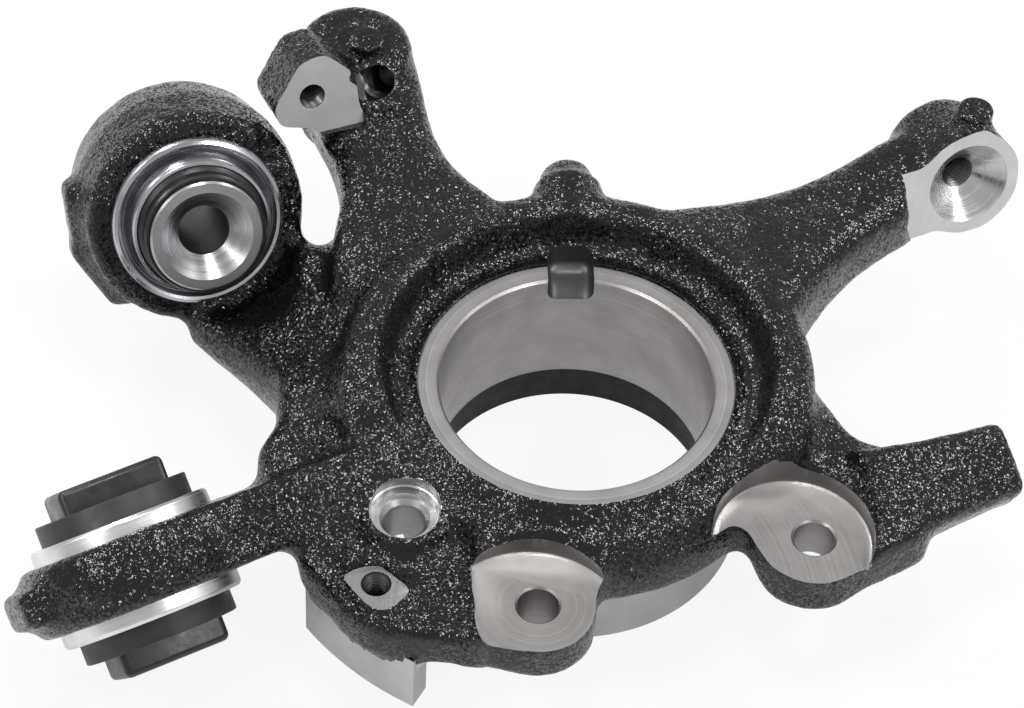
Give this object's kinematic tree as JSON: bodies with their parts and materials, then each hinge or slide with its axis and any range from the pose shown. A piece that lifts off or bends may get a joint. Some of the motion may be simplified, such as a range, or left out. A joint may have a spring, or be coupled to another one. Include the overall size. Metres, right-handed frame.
{
  "type": "wheel carrier",
  "caption": "Rear wheel carrier cast in iron: machined bearing seat, five arms, a pressed-in cross-axis ball joint and a rubber bush.",
  "frame": {"origin": "on the wheel bearing axis where the wall of the bearing seat starts, 0.8 mm below its machined face", "axes": "+Z along the bearing axis out of the seat, +X towards the arm with the tapered seat, +Y towards the slot in the seat face"},
  "size_m": [0.333, 0.2519, 0.1047],
  "materials": {
    "painted_iron": "gloss black paint over sand-cast skin, machined faces bare",
    "turned_steel": "turned",
    "pressed_steel": "satin zinc",
    "bearing_plastic": "matte",
    "boot_rubber": "satin",
    "clamp_steel": "satin",
    "shell_steel": "turned",
    "bush_rubber": "matte",
    "core_steel": "black phosphate"
  },
  "bodies": {
    "carrier": {"carrier_casting": "painted_iron", "joint_can": "pressed_steel", "liner_front": "bearing_plastic", "liner_rear": "bearing_plastic", "boot_front": "boot_rubber", "boot_rear": "boot_rubber", "boot_clamp_front": "clamp_steel", "boot_clamp_rear": "clamp_steel", "bush_shell": "shell_steel", "bush_rubber": "bush_rubber", "bush_core": "core_steel"},
    "sleeve": {"ball_sleeve": "turned_steel"}
  },
  "joints": [
    {"name": "ball_joint_turn", "type": "hinge", "parent": "carrier", "child": "sleeve", "pos_m": [-0.13601, 0.07742, -0.00461], "axis": [0.3004, -0.8511, 0.4306], "continuous": true}
  ]
}
